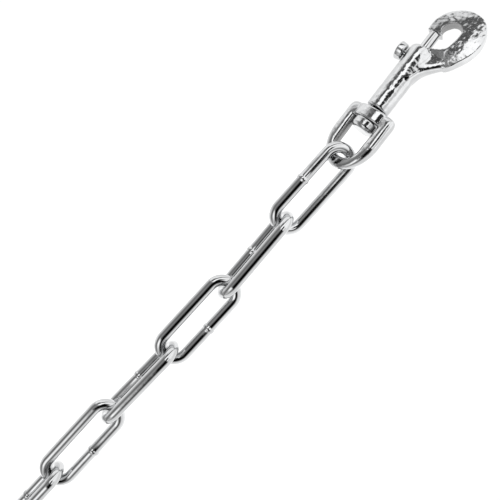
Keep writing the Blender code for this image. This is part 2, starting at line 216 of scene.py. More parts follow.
# Brightness of the tent over degrees from the near horizon to the far one, at each stretch along X
TENT_STRENGTH = 1.4
TENT_START = ((0, 0.3), (60, 0.5), (90, 0.3), (120, 0.15), (150, 0.3), (180, 0.5))
TENT_LEFT = (
    (0, 0.55), (12, 0.32), (24, 0.17), (36, 0.17), (49, 0.55), (60, 1.05), (77, 1.1),
    (92, 0.5), (104, 0.16), (120, 0.12), (135, 0.3), (150, 0.55), (170, 0.78), (180, 0.8),
)
TENT_MIDDLE = (
    (0, 0.55), (8, 0.38), (18, 0.08), (26, 0.0), (58, 0.0), (68, 0.06), (80, 0.19),
    (91, 0.24), (103, 0.19), (116, 0.15), (129, 0.21), (143, 0.34), (160, 0.55), (180, 0.75),
)
TENT_BESIDE = (
    (0, 0.72), (12, 0.4), (22, 0.03), (58, 0.0), (68, 0.1), (76, 0.85), (92, 0.85),
    (99, 0.3), (110, 0.2), (125, 0.35), (140, 0.75), (160, 0.85), (180, 0.85),
)
TENT_RIGHT = (
    (0, 0.72), (14, 0.6), (27, 0.6), (35, 0.95), (43, 0.98), (51, 0.02), (71, 0.02), (78, 1.15),
    (93, 1.15), (100, 0.08), (119, 0.1), (131, 0.62), (148, 0.95), (168, 0.8), (180, 0.78),
)
TENT_END = (
    (0, 0.9), (10, 0.9), (40, 1.0), (62, 0.8), (78, 1.0), (92, 1.0),
    (98, 0.1), (109, 0.08), (114, 0.45), (120, 0.8), (135, 0.9), (180, 0.7),
)
# Where one stretch fades into the next, from the chain's free end to the snap, as the direction's X
TENT_LEFT_FADE = (-0.85, -0.6)
TENT_MIDDLE_FADE = (-0.44, -0.27)
TENT_BESIDE_FADE = (0.055, 0.095)
TENT_RIGHT_FADE = (0.12, 0.19)
TENT_END_FADE = (0.38, 0.52)

# Camera's target across and above the floor; the stage's settings give its place along the chain
TARGET_ACROSS = 0.616 * MM
TARGET_HEIGHT = 5.0 * MM
SENSOR_WIDTH = 36.0


# Working in Blender


def rest_selection():
    """Back to object mode with nothing selected."""
    if bpy.context.object is not None and bpy.context.object.mode != "OBJECT":
        bpy.ops.object.mode_set(mode="OBJECT")
    bpy.ops.object.select_all(action="DESELECT")


def pick(piece):
    """Make one piece the only selected and active one."""
    rest_selection()
    piece.hide_set(False)
    piece.select_set(True)
    bpy.context.view_layer.objects.active = piece


def edit(piece):
    """Open a piece in edit mode with nothing selected."""
    pick(piece)
    bpy.ops.object.mode_set(mode="EDIT")
    bpy.ops.mesh.select_mode(type="VERT")
    bpy.ops.mesh.select_all(action="DESELECT")


def edit_chosen(piece, mode, chosen, joined=None):
    """Open a piece in edit mode with only the chosen vertices selected, or the edges that join them."""
    pick(piece)
    for vertex in piece.data.vertices:
        vertex.select = chosen(vertex)
    for edge in piece.data.edges:
        edge.select = joined is not None and joined(edge)
    for face in piece.data.polygons:
        face.select = False
    bpy.ops.object.mode_set(mode="EDIT")
    bpy.ops.mesh.select_mode(type=mode)


def apply_place(piece):
    """Move the piece's placement into its mesh."""
    pick(piece)
    bpy.ops.object.transform_apply(location=True, rotation=True, scale=True)


def put(piece, matrix):
    """Place a piece, and move that placement into its mesh."""
    piece.matrix_world = matrix
    apply_place(piece)


def apply_modifiers(piece):
    """Apply a piece's modifiers in their order."""
    pick(piece)
    for modifier in list(piece.modifiers):
        bpy.ops.object.modifier_apply(modifier=modifier.name)


def rod(name, low, high, radius, rims=(), sides=TURNED_SIDES):
    """A turned rod along X with rounded rims, each given as its place and rounding."""
    rest_selection()
    bpy.ops.mesh.primitive_cylinder_add(vertices=sides, radius=radius, depth=high - low,
                                        location=((low + high) / 2, 0.0, 0.0),
                                        rotation=(0.0, math.pi / 2, 0.0))
    piece = bpy.context.object
    piece.name = name
    apply_place(piece)
    for place, rounding in rims:
        round_rim(piece, place, rounding)
    return piece


def narrow(piece, place, left):
    """Scale the ring of a turned piece that lies at one place along X."""
    edit_chosen(piece, "VERT", lambda vertex: abs(vertex.co.x - place) < TOUCH)
    bpy.ops.transform.resize(value=(1.0, left, left), center_override=(place, 0.0, 0.0))
    bpy.ops.object.mode_set(mode="OBJECT")


def round_rim(piece, place, rounding):
    """Bevel the ring of edges that lies at one place along X."""
    points = piece.data.vertices
    edit_chosen(piece, "EDGE", lambda vertex: abs(vertex.co.x - place) < TOUCH,
                lambda edge: all(abs(points[index].co.x - place) < TOUCH for index in edge.vertices))
    bpy.ops.mesh.bevel(offset=rounding, segments=RIM_SEGMENTS, profile=0.5, affect="EDGES")
    bpy.ops.object.mode_set(mode="OBJECT")


def block(name, low, high, half_height):
    """A plain cutter between two corners of the XY plane."""
    rest_selection()
    middle = [(a + b) / 2 for a, b in zip(low, high)]
    bpy.ops.mesh.primitive_cube_add(size=1.0, location=(middle[0], middle[1], 0.0))
    piece = bpy.context.object
    piece.name = name
    piece.scale = (high[0] - low[0], high[1] - low[1], 2 * half_height)
    apply_place(piece)
    return piece


def dome(middle, radius, half_height, lift, lean):
    """A squashed ball over one point of the XY plane, leaning about X."""
    rest_selection()
    bpy.ops.mesh.primitive_uv_sphere_add(segments=96, ring_count=64, radius=1.0,
                                         location=[value * MM for value in (*middle, lift)])
    piece = bpy.context.object
    piece.name = "dome"
    piece.scale = [reach * MM for reach in (radius, radius, half_height)]
    piece.rotation_euler = (lean, 0.0, 0.0)
    apply_place(piece)
    return piece


def combine(piece, other, operation):
    """Join or cut a piece with another, which is used up."""
    modifier = piece.modifiers.new("combine", "BOOLEAN")
    modifier.operation = operation
    modifier.solver = "EXACT"
    modifier.object = other
    apply_modifiers(piece)
    bpy.data.objects.remove(other)


def add_section(inner, outer, half_height):
    """Add an upright rectangle that reaches from one point of the XY plane to another."""
    reach = Vector(outer) - Vector(inner)
    middle = (Vector(outer) + Vector(inner)) / 2
    turn = math.atan2(reach.y, reach.x)
    place = (middle.x, middle.y, 0.0)
    bpy.ops.mesh.primitive_plane_add(size=2.0 * MM, location=place, rotation=(math.pi / 2, 0.0, turn))
    bpy.ops.transform.resize(value=(reach.length / 2 / MM, 1.0, half_height / MM),
                             orient_type="GLOBAL", orient_matrix=Matrix.Rotation(turn, 3, "Z"),
                             orient_matrix_type="GLOBAL", center_override=place)


def sweep(name, sections, closed=False):
    """A bar through upright sections, whose four long edges are rounded.

    Each section gives its inner point, outer point, half height, inner rounding, outer rounding and the
    share of the height that is left at its outer point.
    """
    rest_selection()
    bpy.ops.mesh.primitive_plane_add(size=2.0 * MM)
    piece = bpy.context.object
    piece.name = name
    edit(piece)
    bpy.ops.mesh.select_all(action="SELECT")
    bpy.ops.mesh.delete(type="VERT")
    for inner, outer, half_height, *_ in sections:
        add_section(inner, outer, half_height)
    bpy.ops.mesh.select_all(action="SELECT")
    bpy.ops.mesh.delete(type="ONLY_FACE")
    bpy.ops.object.mode_set(mode="OBJECT")
    last = len(sections) - 1
    for station in range(last):
        bridge(piece, station, station + 1)
    if closed:
        bridge(piece, last, 0)
    for station, section in enumerate(sections):
        taper(piece, station, section)
    edit(piece)
    if not closed:
        bpy.ops.mesh.select_non_manifold()
        bpy.ops.mesh.fill_holes(sides=4)
    bpy.ops.mesh.select_all(action="SELECT")
    bpy.ops.mesh.normals_make_consistent(inside=False)
    bpy.ops.object.mode_set(mode="OBJECT")
    round_long_edges(piece, sections)
    return piece


def bridge(piece, first, second):
    """Skin the bar from one section to another; each section has four corners in a row."""
    def round_one_section(edge):
        station, other = (index // 4 for index in edge.vertices)
        return station == other and station in (first, second)

    edit_chosen(piece, "EDGE", lambda vertex: vertex.index // 4 in (first, second), round_one_section)
    bpy.ops.mesh.bridge_edge_loops()
    bpy.ops.object.mode_set(mode="OBJECT")


def taper(piece, station, section):
    """Lower a section's outer end."""
    inner, outer, left = Vector(section[0]), Vector(section[1]), section[5]
    if left == 1.0:
        return

    def at_outer_end(vertex):
        spot = vertex.co.xy
        return vertex.index // 4 == station and (spot - outer).length < (spot - inner).length

    edit_chosen(piece, "VERT", at_outer_end)
    bpy.ops.transform.resize(value=(1.0, 1.0, left), center_override=(0.0, 0.0, 0.0))
    bpy.ops.object.mode_set(mode="OBJECT")


def round_long_edges(piece, sections):
    """Round the edges that run from section to section, each side by its sections' own roundings."""
    widest = max(max(section[3], section[4]) for section in sections)
    weights = piece.data.attributes.new("bevel_weight_edge", "FLOAT", "EDGE")
    for edge in piece.data.edges:
        stations = [index // 4 for index in edge.vertices]
        if stations[0] == stations[1]:
            continue
        total = 0.0
        for index, station in zip(edge.vertices, stations):
            inner, outer, _, inner_round, outer_round, _ = sections[station]
            spot = piece.data.vertices[index].co.xy
            near_inner = (spot - Vector(inner)).length < (spot - Vector(outer)).length
            total += inner_round if near_inner else outer_round
        weights.data[edge.index].value = total / 2 / widest
    modifier = piece.modifiers.new("rounding", "BEVEL")
    modifier.limit_method = "WEIGHT"
    modifier.width = widest
    modifier.segments = LONG_EDGE_SEGMENTS
    modifier.use_clamp_overlap = False
    apply_modifiers(piece)


def one_skin(piece, grain, softening=SOFTEN_ROUNDS):
    """Turn joined forms into one even skin with the soft hollows of a casting."""
    modifier = piece.modifiers.new("skin", "REMESH")
    modifier.mode = "VOXEL"
    modifier.voxel_size = grain
    modifier.use_smooth_shade = True
    soften = piece.modifiers.new("soften", "SMOOTH")
    soften.factor = 0.5
    soften.iterations = softening
    apply_modifiers(piece)


def ripple(piece, width, height):
    """Uneven surface of a tumbled casting, as shallow hollows of one width."""
    texture = bpy.data.textures.new(piece.name + "_ripple", "CLOUDS")
    texture.noise_scale = width
    texture.noise_depth = 1
    modifier = piece.modifiers.new("ripple", "DISPLACE")
    modifier.texture = texture
    modifier.texture_coords = "LOCAL"
    modifier.strength = height
    modifier.mid_level = 0.5
    apply_modifiers(piece)


def shade(piece, degrees=None):
    """Smooth shading, all over or only across edges under an angle."""
    pick(piece)
    if degrees is None:
        bpy.ops.object.shade_smooth()
    else:
        bpy.ops.object.shade_smooth_by_angle(angle=math.radians(degrees))


def value_between(stations, place, column):
    """A table's value at a place, on a smooth curve through its rows."""
    last = len(stations) - 2
    for index in range(last + 1):
        if place <= stations[index + 1][0] or index == last:
            break
    rows = [stations[max(0, min(last + 1, index + step))] for step in (-1, 0, 1, 2)]
    span = rows[2][0] - rows[1][0]
    along = (place - rows[1][0]) / span
    slopes = []
    for low, high in ((0, 2), (1, 3)):
        run = rows[high][0] - rows[low][0]
        slopes.append((rows[high][column] - rows[low][column]) / run * span)
    start, end = rows[1][column], rows[2][column]
    square, cube = along ** 2, along ** 3
    return ((2 * cube - 3 * square + 1) * start + (cube - 2 * square + along) * slopes[0]
            + (3 * square - 2 * cube) * end + (cube - square) * slopes[1])


def snap_place(roll=0.0):
    """Where the snap's parts lie: along the swivel's axis, rolled about it."""
    joint = JOINTS["eye_swivel"]
    along = Vector(joint["axis"]).normalized()
    across = Vector((0.0, 0.0, 1.0)).cross(along).normalized()
    upright = Matrix((along, across, along.cross(across))).transposed().to_4x4()
    return Matrix.Translation(Vector(joint["pos_m"])) @ upright @ Matrix.Rotation(roll, 4, "X")


# Finishes


def noise(tree, place, scale, detail=2.0, roughness=0.5):
    """A noise texture's value."""
    texture = tree.nodes.new("ShaderNodeTexNoise")
    texture.inputs["Scale"].default_value = scale
    texture.inputs["Detail"].default_value = detail
    texture.inputs["Roughness"].default_value = roughness
    tree.links.new(place, texture.inputs["Vector"])
    return texture.outputs["Fac"]


def spread(tree, value, start, end, low=0.0, high=1.0, interpolation="LINEAR"):
    """Map a value's stretch from start to end onto the range from low to high."""
    node = tree.nodes.new("ShaderNodeMapRange")
    node.interpolation_type = interpolation
    node.inputs["From Min"].default_value = start
    node.inputs["From Max"].default_value = end
    node.inputs["To Min"].default_value = low
    node.inputs["To Max"].default_value = high
    tree.links.new(value, node.inputs["Value"])
    return node.outputs["Result"]


def mixed(tree, factor, first, second):
    """Two colours, each a socket or a value, mixed by a factor."""
    node = tree.nodes.new("ShaderNodeMix")
    node.data_type = "RGBA"
    tree.links.new(factor, node.inputs["Factor"])
    for side, colour_in in (("A", first), ("B", second)):
        if isinstance(colour_in, bpy.types.NodeSocket):
            tree.links.new(colour_in, node.inputs[side])
        else:
            node.inputs[side].default_value = (*colour_in, 1.0)
    return node.outputs["Result"]


def worked_out(tree, operation, *values):
    """The result of a Math node, whose values are sockets or numbers."""
    node = tree.nodes.new("ShaderNodeMath")
    node.operation = operation
    for slot, value in enumerate(values):
        if isinstance(value, bpy.types.NodeSocket):
            tree.links.new(value, node.inputs[slot])
        else:
            node.inputs[slot].default_value = value
    return node.outputs["Value"]


def plating(name, tone, shadow, roughness, relief):
    """Bright plating: its tone and gloss vary a little, over soft lumps and fine marks."""
    material = bpy.data.materials.new(name)
    material.use_nodes = True
    tree = material.node_tree
    shader = tree.nodes["Principled BSDF"]
    shader.inputs["Metallic"].default_value = 1.0
    place = tree.nodes.new("ShaderNodeTexCoord").outputs["Object"]
    lump_scale = relief[0][0]

    patches = spread(tree, noise(tree, place, lump_scale * TONE_SCALE, 3.0), *NOISE_RANGE)
    tree.links.new(mixed(tree, patches, shadow, tone), shader.inputs["Base Color"])
    gloss = noise(tree, place, lump_scale * GLOSS_SCALE, 4.0, 0.6)
    rough = spread(tree, gloss, *NOISE_RANGE, roughness * GLOSS_LOW, roughness * GLOSS_HIGH)
    tree.links.new(rough, shader.inputs["Roughness"])

    normal = None
    for scale, depth in relief:
        bump = tree.nodes.new("ShaderNodeBump")
        bump.inputs["Strength"].default_value = 1.0
        bump.inputs["Distance"].default_value = depth
        tree.links.new(noise(tree, place, scale), bump.inputs["Height"])
        if normal is not None:
            tree.links.new(normal, bump.inputs["Normal"])
        normal = bump.outputs["Normal"]
    tree.links.new(normal, shader.inputs["Normal"])
    return material


def mark_shade_and_dull_hollows(piece, painted_shade_hollow):
    """Mark the points that a piece's rule takes for a hollow side, by place and normal, for painted shade."""
    mark = piece.data.attributes.new(SHADE_AND_DULL_MARK, "FLOAT", "POINT")
    for vertex in piece.data.vertices:
        mark.data[vertex.index].value = float(painted_shade_hollow(vertex.co, vertex.normal))


def paint_shade_and_dull_hollows(material):
    """Painted shade and less polish where a casting's hollow sides are marked: a darker tone, and a softer
    gloss.
    """
    tree = material.node_tree
    shader = tree.nodes["Principled BSDF"]
    mark = tree.nodes.new("ShaderNodeAttribute")
    mark.attribute_name = SHADE_AND_DULL_MARK
    for socket, value in (("Base Color", HOLLOW_PAINTED_SHADE), ("Roughness", HOLLOW_GLOSS)):
        outside = shader.inputs[socket].links[0].from_socket
        tree.links.new(mixed(tree, mark.outputs["Fac"], outside, [value] * 3), shader.inputs[socket])
    return material


def wire_finish(look):
    return plating("plated wire", look.plating, look.plating_shadow, look.wire_roughness, WIRE_RELIEF)


def casting_finish(look):
    known = bpy.data.materials.get("plated casting")
    # Its marked hollow sides get painted shade, a darker tone where shade falls
    return known or paint_shade_and_dull_hollows(plating("plated casting", look.plating, look.plating_shadow,
                                         look.casting_roughness, CASTING_RELIEF))


def turned_finish(look):
    return plating("plated bolt", look.plating, look.plating_shadow, look.wire_roughness, TURNED_RELIEF)


def spring_finish(look):
    return plating("spring steel", look.spring, look.spring_shadow, look.spring_roughness, SPRING_RELIEF)


def dress(piece, material, body, slot, *nodes):
    """Give a finished piece its finish, its body and the solids that it stands for."""
    piece.data.materials.clear()
    piece.data.materials.append(material)
    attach(piece, body)
    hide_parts(*nodes)


# Sizes and colours


def size(name, default, description):
    """A setting for a length, in metres."""
    return bpy.props.FloatProperty(name=name, description=description, default=default, min=0.0,
                                   unit="LENGTH", precision=5)


def colour(name, default, description):
    """A setting for a colour."""
    return bpy.props.FloatVectorProperty(name=name, description=description, default=default,
                                         subtype="COLOR", min=0.0, max=1.0, size=3)


def share(name, default, description):
    """A setting for a share of one."""
    return bpy.props.FloatProperty(name=name, description=description, default=default,
                                   min=0.0, max=1.0, subtype="FACTOR")


def turning(name, degrees, description):
    """A setting for an angle, given in degrees."""
    return bpy.props.FloatProperty(name=name, description=description, default=math.radians(degrees),
                                   subtype="ANGLE")


class LinkSizes(bpy.types.PropertyGroup):
    wire: size("Wire", 4.0 * MM, "Diameter of the wire that a link is bent from")
    inner_length: size("Inner length", 30.5 * MM, "Clear length inside a link")
    outer_width: size("Outer width", 14.0 * MM, "Width of a link over its two legs")
    weld_rise: size("Weld rise", 0.28 * MM, "How far the weld's bulge stands over the wire")
    weld_length: size("Weld length", 2.4 * MM, "Length of the weld along the leg")


class SnapSizes(bpy.types.PropertyGroup):
    barrel_radius: size("Barrel radius", 4.2 * MM, "Radius of the snap's barrel")
    barrel_length: size("Barrel length", 26.0 * MM, "Length of the snap's barrel")
    tenon_radius: size("Tenon radius", 2.0 * MM, "Radius of the tenon that the eye turns on")
    rivet_radius: size("Rivet radius", 4.35 * MM, "Radius of the tenon's riveted head")
    rivet_length: size("Rivet length", 3.6 * MM, "Length of the tenon's riveted head")
    ripple: size("Ripple", 0.16 * MM, "Depth of the casting's uneven surface")
    grain: size("Grain", 0.2 * MM, "Face size of the cast surfaces")
    roll: turning("Snap roll", 9.0, "Roll of the snap about its own axis")


class BoltSizes(bpy.types.PropertyGroup):
    pin_radius: size("Pin radius", 1.95 * MM, "Radius of the pin that closes the hook")
    pin_front: size("Pin front", 32.4 * MM, "Place of the pin's front end along the snap")
    pin_rear: size("Pin rear", 15.4 * MM, "Place of the pin's rear end along the snap")
    stud_place: size("Stud place", 21.6 * MM, "Place of the thumb stud along the snap")
    stem_radius: size("Stem radius", 1.1 * MM, "Radius of the thumb stud's stem")
    head_radius: size("Head radius", 3.3 * MM, "Radius of the thumb stud's head")
    head_foot: size("Head foot", 4.6 * MM, "Distance of the head's underside from the pin's axis")
    head_top: size("Head top", 7.3 * MM, "Distance of the head's top from the pin's axis")
    spring_wire: size("Spring wire", 0.5 * MM, "Diameter of the wire of the spring behind the bolt")
    spring_radius: size("Spring radius", 1.65 * MM, "Radius of the spring's coil")


class EyeSizes(bpy.types.PropertyGroup):
    inner_half_width: size("Inner half width", 4.6 * MM, "Half the width of the eye's opening")
    outer_half_width: size("Outer half width", 9.6 * MM, "Half the width over the eye's limbs")
    shoulder_half_width: size("Shoulder half width", 9.5 * MM, "Half the width over the eye's shoulders")
    bar_width: size("Bar width", 4.6 * MM, "Width of the bar at the eye's top")
    limb_half_thickness: size("Limb half thickness", 2.4 * MM, "Half the thickness of the eye's limbs")
    bow_half_thickness: size("Bow half thickness", 1.3 * MM, "Half the thickness of the eye's bow")
    hub_radius: size("Hub radius", 4.1 * MM, "Radius of the hub around the tenon")
    lean: turning("Eye lean", -5.0, "Turn of the eye about the snap's axis")


class Finishes(bpy.types.PropertyGroup):
    plating: colour("Plating", (0.67, 0.675, 0.68), "Colour of the bright plating")
    plating_shadow: colour("Plating, duller", (0.58, 0.585, 0.59), "Colour of the plating's duller patches")
    spring: colour("Spring steel", (0.42, 0.42, 0.43), "Colour of the bolt's spring")
    spring_shadow: colour("Spring steel, duller", (0.30, 0.30, 0.31), "Colour of the spring's duller patches")
    wire_roughness: share("Wire roughness", 0.07, "Roughness of the links, bolt and stud")
    casting_roughness: share("Casting roughness", 0.10, "Roughness of the snap body and the eye")
    spring_roughness: share("Spring roughness", 0.3, "Roughness of the bolt's spring")


class StageSizes(bpy.types.PropertyGroup):
    floor: colour("Floor", (1.0, 1.0, 1.0), "Colour of the floor")
    floor_width: size("Floor width", 6.0, "Width of the floor")
    floor_drop: size("Floor drop", 0.3 * MM, "Gap between the floor and the chain")
    target_x: size("Target along", 391.105 * MM, "Place along the chain that the camera looks at")
    distance: size("Camera distance", 250.0 * MM, "Distance of the camera from that place")
    elevation: turning("Elevation", 60.616, "Height of the camera over the horizon")
    azimuth: turning("Azimuth", -8.5235, "Turn of the camera about the upright axis")
    roll: turning("Roll", -54.5385, "Roll of the camera about its own axis")
    lens: bpy.props.FloatProperty(name="Lens", description="Focal length of the camera", default=51.795,
                                  min=1.0, unit="CAMERA")


# Links


class CHAIN_OT_links(bpy.types.Operator):
    """Model a welded link and hang its copies in each other"""

    bl_idname = "chain.links"
    bl_label = "Links"

    def execute(self, context):
        sizes = context.scene.chain_links
        finish = wire_finish(context.scene.chain_finishes)
        pattern = self.link(sizes)
        for number, name in enumerate(LINK_NAMES, start=1):
            piece = pattern.copy()
            piece.data = pattern.data.copy()
            piece.name = "welded_" + name
            context.scene.collection.objects.link(piece)
            put(piece, self.place(name, number))
            dress(piece, finish, name, "plated_steel", name)
        bpy.data.objects.remove(pattern)
        return {"FINISHED"}

    @staticmethod
    def link(sizes):
        """One link around its middle, long along X, with its weld halfway along the -Y leg."""
        radius = sizes.wire / 2
        bow = sizes.outer_width / 2 - radius
        half_leg = (sizes.inner_length + sizes.wire) / 2 - bow
        start = (0.0, -bow, 0.0)
        rest_selection()
        bpy.ops.mesh.primitive_circle_add(vertices=WIRE_SIDES, radius=radius, location=start,
                                          rotation=(0.0, math.pi / 2, 0.0))
        piece = bpy.context.object
        piece.name = "link_pattern"
        apply_place(piece)
        bpy.ops.object.mode_set(mode="EDIT")
        bpy.ops.mesh.select_all(action="SELECT")
        CHAIN_OT_links.leg(sizes, -bow, half_leg, 1)
        bpy.ops.mesh.spin(steps=BOW_STEPS, angle=-math.pi, center=(half_leg, 0.0, 0.0), axis=(0.0, 0.0, 1.0))
        for _ in range(2 * LEG_STEPS):
            step = (-half_leg / LEG_STEPS, 0.0, 0.0)
            bpy.ops.mesh.extrude_region_move(TRANSFORM_OT_translate={"value": step})
        bpy.ops.mesh.spin(steps=BOW_STEPS, angle=-math.pi, center=(-half_leg, 0.0, 0.0), axis=(0.0, 0.0, 1.0))
        CHAIN_OT_links.leg(sizes, -bow, half_leg, -1)
        bpy.ops.mesh.select_all(action="SELECT")
        bpy.ops.mesh.remove_doubles(threshold=DOUBLES_WITHIN)
        bpy.ops.mesh.normals_make_consistent(inside=False)
        bpy.ops.object.mode_set(mode="OBJECT")
        shade(piece)
        return piece

    @staticmethod
    def leg(sizes, across, half_leg, way):
        """Run the wire from the weld's middle to the leg's end, or back from the end to the middle."""
        ridge = 1.0 + sizes.weld_rise / (sizes.wire / 2)
        unit = sizes.weld_length / 2
        rings = [(0.0, ridge), (0.28, ridge), (0.5, 0.45 + ridge * 0.55), (0.75, 1.02), (1.0, 1.0)]
        rings = [(place * unit, wide) for place, wide in rings]
        rings += [(unit + (half_leg - unit) * (step + 1) / LEG_STEPS, 1.0) for step in range(LEG_STEPS)]
        if way < 0:
            rings = [(-place, wide) for place, wide in reversed(rings)]
        CHAIN_OT_links.run(rings, across)

    @staticmethod
    def run(rings, across):
        """Extrude the picked ring through places along X, scaled to each ring's share of the wire."""
        place, wide = rings[0]
        bpy.ops.transform.resize(value=(1.0, wide, wide), center_override=(place, across, 0.0))
        for next_place, next_wide in rings[1:]:
            bpy.ops.mesh.extrude_region_move(
                TRANSFORM_OT_translate={"value": (next_place - place, 0.0, 0.0)})
            bpy.ops.transform.resize(value=(1.0, next_wide / wide, next_wide / wide),
                                     center_override=(next_place, across, 0.0))
            place, wide = next_place, next_wide

    @staticmethod
    def place(name, number):
        """The link's own axes and middle, from its solid and the contact that it hangs on."""
        solid = frame["nodes"][name].data
        area = sum(face.area for face in solid.polygons)
        middle = sum((face.center * face.area for face in solid.polygons), Vector()) / area
        joint = JOINTS[name.replace("link", "contact")]
        along = (Vector(joint["pos_m"]) - middle).normalized()
        normal = Vector(joint["axis"])
        normal = (normal - along * normal.dot(along)).normalized()
        across = normal.cross(along)
        weld_near = number % 2 == 1 and number > 1
        if (across.y > 0.0) != weld_near:
            across, normal = -across, -normal
        turn = Matrix((along, across, normal)).transposed().to_4x4()
        return Matrix.Translation(middle) @ turn


# Snap body


class CHAIN_OT_snap_body(bpy.types.Operator):
    """Model the cast snap body with its hook, barrel and riveted tenon"""

    bl_idname = "chain.snap_body"
    bl_label = "Snap body"

    def execute(self, context):
        sizes = context.scene.chain_snap
        body = self.barrel(sizes)
        combine(body, self.root(), "UNION")
        combine(body, self.hook(), "UNION")
        for cutter in (block("gate", *GATE, GATE_HALF_HEIGHT), rod("bore", *BORE, BORE_RADIUS),
                       block("slot", *SLOT, SLOT_HALF_WIDTH)):
            combine(body, cutter, "DIFFERENCE")
        one_skin(body, sizes.grain)
        self.soften_root(body)
        for width, depth_share in RIPPLES:
            ripple(body, width, sizes.ripple * depth_share)
        shade(body)
        # The sides of the hook's opening get painted shade, a darker tone where shade falls, and a softer
        # gloss
        mark_shade_and_dull_hollows(body, self.in_opening)
        body.name = "cast_snap_body"
        put(body, snap_place(sizes.roll))
        dress(body, casting_finish(context.scene.chain_finishes), "snap", "plated_casting", "snap_body")
        return {"FINISHED"}

    @staticmethod
    def in_opening(spot, normal):
        """Whether a point lies on the side of the hook's opening."""
        inward = Vector(HOOK_MIDDLE) * MM - spot.xy
        return inward.length < HOLLOW_REACH and normal.xy.dot(inward.normalized()) > HOLLOW_FACING

    @staticmethod
    def soften_root(body):
        """Let the barrel, the root and the hook flow into each other."""
        def on_root(vertex):
            spot = vertex.co
            inside = all(low * MM < value < high * MM
                         for low, value, high in zip(ROOT_SOFT_LOW, spot.xy, ROOT_SOFT_HIGH))
            return inside and math.hypot(spot.y, spot.z) > BORE_WALL

        edit_chosen(body, "VERT", on_root)
        bpy.ops.mesh.vertices_smooth(factor=0.5, repeat=ROOT_SOFT_ROUNDS)
        bpy.ops.object.mode_set(mode="OBJECT")

    @staticmethod
    def barrel(sizes):
        """Barrel, tenon and the tenon's riveted head."""
        foot = EYE_TOP - EYE_HUB_LENGTH - RIVET_PLAY
        barrel = rod("barrel", 0.0, sizes.barrel_length, sizes.barrel_radius,
                     ((0.0, BARREL_ROUNDS[0]), (sizes.barrel_length, BARREL_ROUNDS[1])))
        tenon = rod("tenon", foot - MM, MM, sizes.tenon_radius)
        head_end = foot - sizes.rivet_length
        head = rod("rivet_head", head_end, foot, sizes.rivet_radius,
                   ((head_end, RIVET_ROUNDS[0]), (foot, RIVET_ROUNDS[1])))
        combine(barrel, tenon, "UNION")
        combine(barrel, head, "UNION")
        return barrel

    @staticmethod
    def hook():
        """The hook's ring, from inside the barrel past the nose to the beak."""
        first, last = HOOK_STATIONS[0][0], HOOK_STATIONS[-1][0]
        steps = round((last - first) / HOOK_STEP)
        sections = []
        for step in range(steps + 1):
            angle = first + (last - first) * step / steps
            inner, outer, thickness = (value_between(HOOK_STATIONS, angle, column) for column in (1, 2, 3))
            turn = math.radians(angle)
            ends = [((HOOK_MIDDLE[0] - reach * math.cos(turn)) * MM,
                     (HOOK_MIDDLE[1] - reach * math.sin(turn)) * MM) for reach in (inner, outer)]
            begin, reached, lowest = HOOK_FAR_SIDE
            left = 1.0 - (1.0 - lowest) * max(0.0, min(1.0, (angle - begin) / (reached - begin)))
            most = ROUNDING_LIMIT * min(outer - inner, thickness * left) * MM
            rounding = min(HOOK_OUTER_ROUND, most)
            sections.append((ends[0], ends[1], thickness / 2 * MM, HOOK_INNER_ROUND, rounding, left))
        hook = sweep("hook", sections)
        for form in HOOK_DOMES:
            combine(hook, dome(HOOK_MIDDLE, *form), "INTERSECT")
        return hook

    @staticmethod
    def root():
        """The flare from the barrel's side to the hook."""
        first, last = ROOT_STATIONS[0][0], ROOT_STATIONS[-1][0]
        steps = round((last - first) / ROOT_STEP)
        sections = []
        for step in range(steps + 1):
            along = step / steps
            place = first + (last - first) * along
            reach = value_between(ROOT_STATIONS, place, 1) * MM
            half = ROOT_HALF_THICKNESS[0] * (1 - along) + ROOT_HALF_THICKNESS[1] * along
            left = 1.0 - (1.0 - ROOT_EDGE_SHARE) * along
            sections.append(((place * MM, ROOT_START), (place * MM, -reach), half,
                             ROOT_INNER_ROUND, ROOT_ROUND, left))
        return sweep("root", sections)


# Bolt and its spring


class CHAIN_OT_bolt(bpy.types.Operator):
    """Model the sliding bolt with its thumb stud"""

    bl_idname = "chain.bolt"
    bl_label = "Bolt"

    def execute(self, context):
        sizes = context.scene.chain_bolt
        bolt = rod("bolt_pin", sizes.pin_rear, sizes.pin_front, sizes.pin_radius,
                   ((sizes.pin_rear, PIN_ROUND), (sizes.pin_front, PIN_ROUND)))
        stem = rod("stud_stem", 0.0, sizes.head_foot + STEM_OVERLAP, sizes.stem_radius, sides=STEM_SIDES)
        head = rod("stud_head", sizes.head_foot, sizes.head_top, sizes.head_radius)
        narrow(head, sizes.head_foot, STUD_FOOT_SHARE)
        for place in (sizes.head_foot, sizes.head_top):
            round_rim(head, place, STUD_ROUND)
        combine(stem, head, "UNION")
        put(stem, Matrix.Translation((sizes.stud_place, 0.0, 0.0)) @ Matrix.Rotation(math.pi / 2, 4, "Z"))
        combine(bolt, stem, "UNION")
        shade(bolt, BOLT_SMOOTH_UNDER)
        bolt.name = "bolt_with_stud"
        put(bolt, snap_place(context.scene.chain_snap.roll))
        dress(bolt, turned_finish(context.scene.chain_finishes), "bolt", "plated_steel", "bolt")
        return {"FINISHED"}


